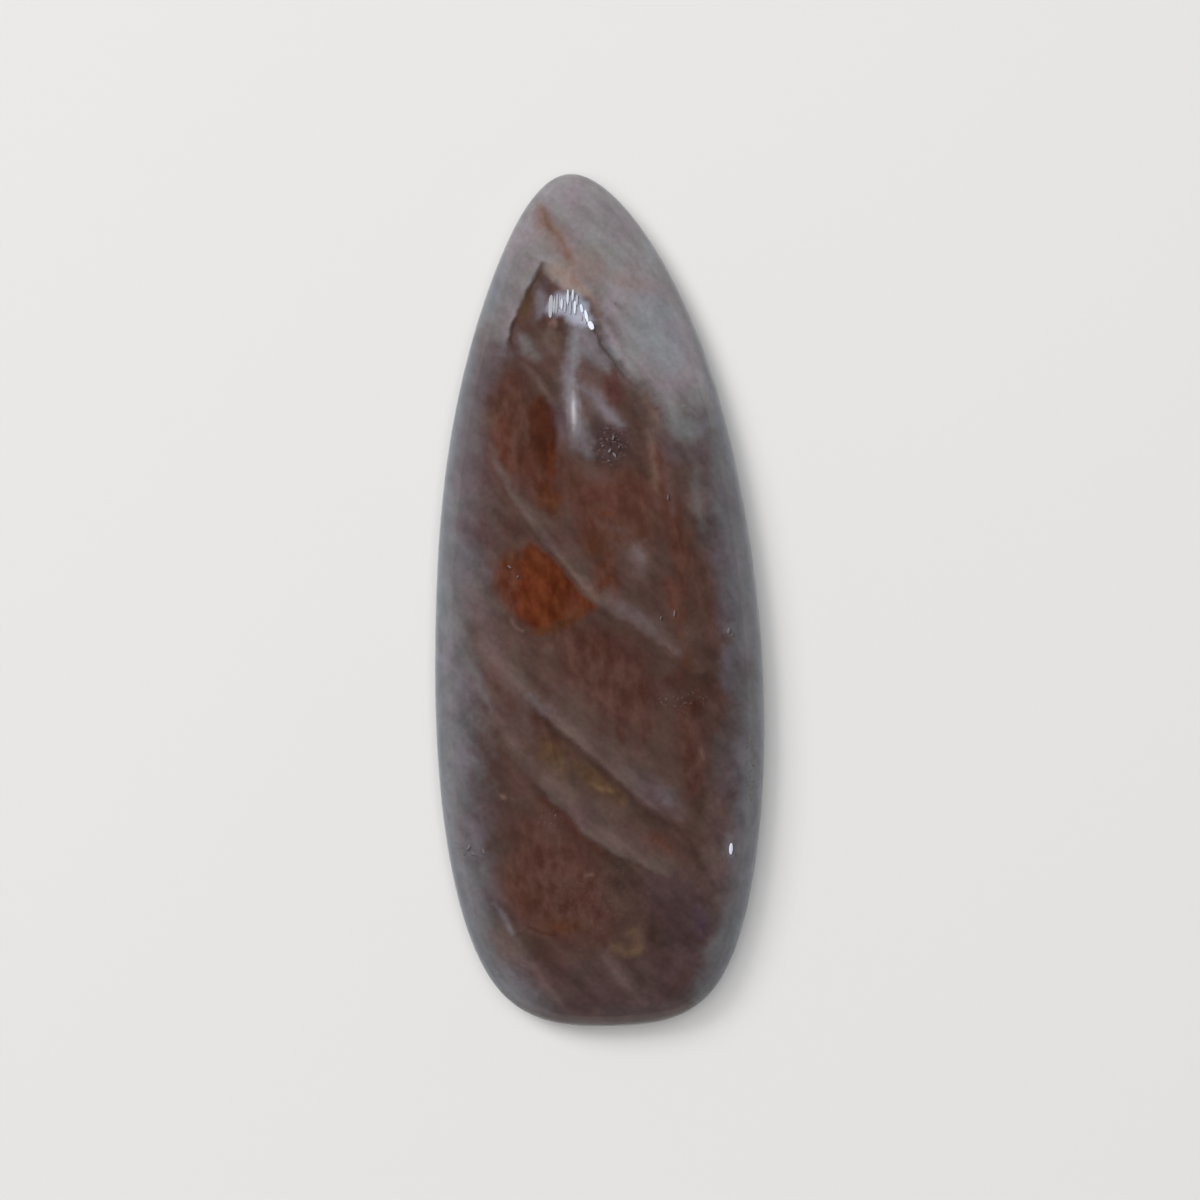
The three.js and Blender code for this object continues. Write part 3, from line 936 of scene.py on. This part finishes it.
# %% Colour of the clouds
IRON = ("red", "rust", "orange", "ember", "umber", "ochre", "sand", "wine", "cinnamon", "peach")
share_of = {name: attribute(name) for name in NAMES}


def sum_of(names, shade):
    """Sum over minerals of the share times the colour. Shade 0 is the darker colour and 1 the lighter."""
    total = (0, 0, 0)
    for name in names:
        terms = {0: linear(MINERALS[name][shade]), 1: share_of[name], 2: total}
        total = add_node("VectorMath", terms, operation="MULTIPLY_ADD").outputs[0]
    return total


MIDDLE = (0.35, 0.65)  # the part of the noise's range in which nearly all of it lies
ROSY, GREENISH = (255, 248, 252), (248, 255, 250)  # the two tints between which all colours drift
pale = [name for name in NAMES if name not in IRON]
streaks = map_range(noise_at(1.0, 4, -48, 2.2), *MIDDLE)
columns = map_range(noise_at(0.6, 5, -80, 1.8), *MIDDLE)
pale_sum = mixed(streaks, sum_of(pale, 0), sum_of(pale, 1))
iron_sum = mixed(columns, sum_of(IRON, 0), sum_of(IRON, 1))
colour = combine("ADD", pale_sum, iron_sum)
colour = combine("MULTIPLY", colour, map_range(noise_at(0.3, 3), *MIDDLE, 0.94, 1.06))
hue_drift = mixed(map_range(noise_at(1.6, 4), *MIDDLE), screen_colour(ROSY), screen_colour(GREENISH))
colour = combine("MULTIPLY", colour, hue_drift)

# %% Specks in the clouds
PALE_SPECK, DARK_SPECK = (134, 114, 110), (44, 30, 30)
speck_noise = noise_at(0.16, 1)
speck_cover = attribute("specks")
for speck, start, end in ((PALE_SPECK, 0.6, 0.72), (DARK_SPECK, 0.4, 0.28)):
    grains = {0: map_range(speck_noise, start, end), 1: speck_cover}
    grain_cover = add_node("Math", grains, operation="MULTIPLY").outputs[0]
    colour = mixed(grain_cover, colour, screen_colour(speck))
fill(shader, {"Base Color": colour, "Roughness": 0.9, "Specular IOR Level": 0})
iron_clouds.data.materials.append(clouds)

# %% [markdown]
# ## Glints
#
# Cracks inside the stone throw the light back: a fan of bright ribs in the inner point, one bright spark
# low on the right, and small dim ones. They could be mirrored lamps, but a mirror image leaves its place
# when the stone is turned. Here each glint is a painted highlight: a thin pale lens just above the
# clouds, whose pale colour stands in for the light that the crack throws back.

# %% Glints
GLINT_GAP = 0.27  # depth below the polish, a little less than the mass
# x and y of the middle, length, width, lean to the right in degrees, and shine from 0 to 1
glint_rows = np.array([
    (-1.93, 17.03, 1.41, 0.29, 5, 0.45),
    (-1.73, 17.08, 1.05, 0.11, 5, 0.5),
    (-1.58, 17.16, 1.23, 0.16, 6, 0.42),
    (-1.42, 17.24, 0.76, 0.09, 5, 0.5),
    (-1.30, 17.14, 0.70, 0.16, 4, 0.75),
    (-1.11, 16.99, 0.76, 0.13, 4, 0.5),
    (-0.93, 17.53, 0.94, 0.15, 4, 0.75),
    (-0.82, 16.90, 0.82, 0.13, 5, 0.45),
    (-0.64, 17.64, 0.70, 0.14, 5, 0.75),
    (-0.55, 16.91, 0.82, 0.16, 4, 0.85),
    (-0.41, 17.34, 0.64, 0.14, 4, 0.5),
    (-0.16, 16.83, 0.53, 0.19, -8, 0.9),
    (-0.21, 16.31, 0.35, 0.15, -6, 0.45),
    (0.10, 16.38, 0.76, 0.19, -10, 1),
    (-0.01, 16.07, 0.35, 0.15, -18, 0.5),
    (0.34, 15.82, 0.56, 0.32, -22, 1),
    (1.36, 9.28, 0.29, 0.13, 22, 0.09),
    (1.13, 8.54, 0.29, 0.14, 32, 0.12),
    (1.40, 8.29, 0.32, 0.15, -33, 0.13),
    (0.76, 8.84, 0.20, 0.10, 62, 0.07),
    (1.68, 8.75, 0.19, 0.09, 12, 0.07),
    (1.07, 7.96, 0.19, 0.09, -58, 0.07),
    (7.60, -2.07, 0.38, 0.18, 16, 0.13),
    (7.79, -2.34, 0.19, 0.11, 62, 0.07),
    (7.26, -14.73, 0.70, 0.23, 5, 1),
    (7.43, -15.12, 0.23, 0.11, 22, 0.09),
    (-7.92, -14.07, 0.41, 0.15, 37, 0.1),
    (-7.66, -14.42, 0.32, 0.14, -48, 0.09),
    (-8.17, -14.42, 0.21, 0.11, 12, 0.06),
    (-7.04, -14.30, 0.35, 0.14, -18, 0.08),
    (4.37, 5.74, 0.35, 0.12, 7, 0.06),
    (4.48, -0.96, 0.41, 0.13, 6, 0.08),
    (3.69, -1.19, 0.23, 0.11, 14, 0.06),
    (1.77, 17.05, 0.20, 0.14, -28, 0.09),
    (-4.87, 2.09, 0.27, 0.13, -48, 0.07),
    (-4.42, 1.49, 0.21, 0.10, 32, 0.06),
])


def dome_top(x, y):
    """Height of the polished top: rim height plus the crest height times the half ellipse across."""
    middle, half = middle_and_half_width(y)
    return RIM_HEIGHT + crest_height(y) * np.sqrt(np.maximum(1 - ((x - middle) / half) ** 2, 0))


LENS_RINGS = 16
LENS_RING_SIZE = 10
LENS_THICKNESS = 0.03


def lens_rings(rows):
    """Lenses along leaning axes: half length t along, half width sqrt(1 - t2) times a flat ellipse across."""
    x, y, length, width, lean, shine = rows.T[:, :, None, None]
    t = np.linspace(1, -1, LENS_RINGS)[:, None]
    turn = np.linspace(0, 2 * np.pi, LENS_RING_SIZE, endpoint=False)
    narrow = np.sqrt(np.maximum(1 - t**2, 0))
    across = width / 2 * narrow * np.cos(turn)
    along = length / 2 * t + 0 * across
    lean = np.radians(lean)
    at_x = x + along * np.sin(lean) + across * np.cos(lean)
    at_y = y + along * np.cos(lean) - across * np.sin(lean)
    at_z = RIM_HEIGHT + (dome_top(at_x, at_y) - RIM_HEIGHT) * (1 - GLINT_GAP / DOME_HEIGHT)
    at_z = at_z + LENS_THICKNESS * narrow * np.sin(turn)
    return np.stack([at_x, at_y, at_z], axis=-1).reshape(-1, LENS_RING_SIZE, 3), shine + 0 * across


rings, shine = lens_rings(glint_rows)
glints = ring_mesh("glints", rings, LENS_RINGS, shine)
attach(glints, "root")

# Painted highlight: the glints' colour runs from dim to near white with their shine.
bright, nodes, links, shader = new_material("painted_glints")
DIM_GLINT, BRIGHT_GLINT = screen_colour((92, 76, 72)), screen_colour((240, 244, 255))
fill(shader, {"Base Color": mixed(attribute("shine"), DIM_GLINT, BRIGHT_GLINT), "Roughness": 0.4})
glints.data.materials.append(bright)

# %% [markdown]
# ## The finish of the skin
#
# Polished quartz is see-through: light bends into it by its index of 1.544, and a very faint absorption
# darkens long ways through it. A trace of roughness stands for the fine scratches of a well-worn polish.
# The skin casts no shadow on the mass inside, because tracing lamps through bent glass gives grain and no
# better picture.

# %% Polished quartz
skin, nodes, links, shader = new_material("polished_quartz")
fill(shader, {"Base Color": (1, 1, 1, 1), "Transmission Weight": 1, "IOR": 1.544, "Roughness": 0.05})
absorption = add_node("VolumeAbsorption", {"Color": (0.62, 0.6, 0.64, 1), "Density": 60})
fill(nodes["Material Output"], {"Volume": absorption.outputs[0]})
quartz.data.materials.append(skin)
quartz.visible_shadow = False
quartz.visible_diffuse = False

# %% [markdown]
# ## The floor
#
# A plain pale surface, a hair below the stone so that the two don't share a plane.

# %% Floor
FLOOR_HALF = 2000
FLOOR_Z = -0.02
signs = [(-1, -1), (1, -1), (1, 1), (-1, 1)]
corners = [(x * FLOOR_HALF * MM, y * FLOOR_HALF * MM, FLOOR_Z * MM) for x, y in signs]
floor_mesh = bpy.data.meshes.new("floor")
floor_mesh.from_pydata(corners, [], [range(4)])
floor = add_object("floor", floor_mesh)
paper, nodes, links, shader = new_material("pale_floor")
fill(shader, {"Base Color": screen_colour((214, 212, 210)), "Roughness": 0.9})
floor.data.materials.append(paper)

# %% [markdown]
# ## The camera
#
# The stone is seen from straight above, and its long axis leans a little to the left of upright. A long
# lens keeps the sides of the dome from being hidden by its crest.

# %% Camera
LENS = 120
SENSOR = 36
VIEW_WIDTH = 70.29  # millimetres across the view at the rim's height
CAMERA_X, CAMERA_Y = 0.25, -0.02
LEAN = -2.2155  # degrees
camera_data = bpy.data.cameras.new("camera")
camera_data.lens = LENS
camera_data.sensor_width = SENSOR
camera = add_object("camera", camera_data)
camera_height = LENS / SENSOR * VIEW_WIDTH + RIM_HEIGHT
camera.location = (CAMERA_X * MM, CAMERA_Y * MM, camera_height * MM)
camera.rotation_euler = (0, 0, math.radians(LEAN))
camera_data.clip_start, camera_data.clip_end = 0.01, 10
bpy.context.scene.camera = camera
print("the camera is", round(camera_height, 1), "mm above the back")

# %% [markdown]
# ## Soft studio light
#
# One wide lamp overhead and a smaller key from the upper left light the clouds. They are kept out of the
# polish. It mirrors a plain sky that is dim overhead and brighter at the horizon, as a pale room is
# around a dark ceiling. So the dome stays clear in the middle and gets a soft pale rim, where its steep
# sides mirror the horizon.

# %% Broad lights
bpy.context.scene.view_settings.view_transform = "Standard"
world = bpy.data.worlds.new("studio")
bpy.context.scene.world = world
world.use_nodes = True
SKY_TOP, SKY_HORIZON = 0.1, 0.5  # strengths
SKY_FADE = 0.55  # sine of the angle above the horizon at which the sky has reached its dim top
nodes, links = world.node_tree.nodes, world.node_tree.links
direction = add_node("TexCoord", {}).outputs["Generated"]
height = add_node("SeparateXYZ", {0: direction}).outputs["Z"]
strength = map_range(height, 0, SKY_FADE, SKY_HORIZON, SKY_TOP, "SMOOTHERSTEP")
fill(nodes["Background"], {"Color": (0.82, 0.9, 1.0, 1), "Strength": strength})


def area_light(name, shape, at, back, upward, size, power, colour=(1, 1, 1)):
    """A lamp at a place in metres: its sides run along upward x back, back x side and back."""
    data = bpy.data.lights.new(name, "AREA")
    data.shape = shape
    data.size, data.size_y = size
    data.energy = power
    data.color = colour
    lamp = add_object(name, data)
    side = upward.cross(back).normalized()
    turn = Matrix((side, back.cross(side), back)).transposed()
    lamp.matrix_world = Matrix.Translation(at) @ turn.to_4x4()
    lamp.visible_transmission = False
    return lamp


def tilted(tilt_x, tilt_y):
    """The direction that leans from straight up by two angles in degrees, towards +X and +Y."""
    return Vector((math.tan(math.radians(tilt_x)), math.tan(math.radians(tilt_y)), 1)).normalized()


NORTH = Vector((0, 1, 0))
BROAD_DISTANCE = 0.9
BROAD_LAMPS = (("key", -35, 35, 0.35, 4.2), ("overhead", -6, 8, 0.9, 7.9))  # tilts, size and power
for name, tilt_x, tilt_y, size, power in BROAD_LAMPS:
    away = tilted(tilt_x, tilt_y)
    lamp = area_light(name, "RECTANGLE", away * BROAD_DISTANCE, away, NORTH, (size, size), power)
    lamp.visible_glossy = False

# %% [markdown]
# ## Lamps that the polish mirrors
#
# A soft bright streak runs down the crest below the fan of glints. Its lamps are set where their mirror
# image falls on the wished place: the line of sight is mirrored at the polish, and the lamp sits on the
# mirrored line. Its size follows from how far the mirrored line swings across the wished image.

# %% Mirror geometry
def mirrored_sight(x, y):
    """The direction in which the camera's line of sight leaves the polish: r = 2 (n.v) n - v."""
    step = 0.01
    slope_x = (dome_top(x + step, y) - dome_top(x - step, y)) / (2 * step)
    slope_y = (dome_top(x, y + step) - dome_top(x, y - step)) / (2 * step)
    normal = Vector((-slope_x, -slope_y, 1)).normalized()
    sight = (camera.location - Vector((x, y, dome_top(x, y))) * MM).normalized()
    return 2 * normal.dot(sight) * normal - sight


MIRROR_DISTANCE = 0.5
COOL = (0.92, 0.94, 1.0)


def lamp_seen_at(name, x, y, width, height, brightness):
    """An oval lamp whose mirror image is width by height in millimetres around (x, y).

    Its power is the brightness times its area times pi, because it shines evenly to one side.
    """
    away = mirrored_sight(x, y)
    across = mirrored_sight(x + width / 2, y) - mirrored_sight(x - width / 2, y)
    along = mirrored_sight(x, y + height / 2) - mirrored_sight(x, y - height / 2)
    size = (across.cross(along.normalized()).length * MIRROR_DISTANCE, along.length * MIRROR_DISTANCE)
    area = math.pi / 4 * size[0] * size[1]
    at = Vector((x, y, dome_top(x, y))) * MM + away * MIRROR_DISTANCE
    lamp = area_light(name, "ELLIPSE", at, away, along, size, brightness * area * math.pi, COOL)
    lamp.visible_diffuse = False


# %% Streak down the crest
STREAK_X, STREAK_Y = -0.85, 10.9
STREAK_PARTS = (("streak_core", 0.16, 1.4, 8), ("streak", 0.4, 2.6, 3), ("streak_haze", 0.9, 4.4, 0.8))
for name, width, height, brightness in STREAK_PARTS:
    lamp_seen_at(name, STREAK_X, STREAK_Y, width, height, brightness)
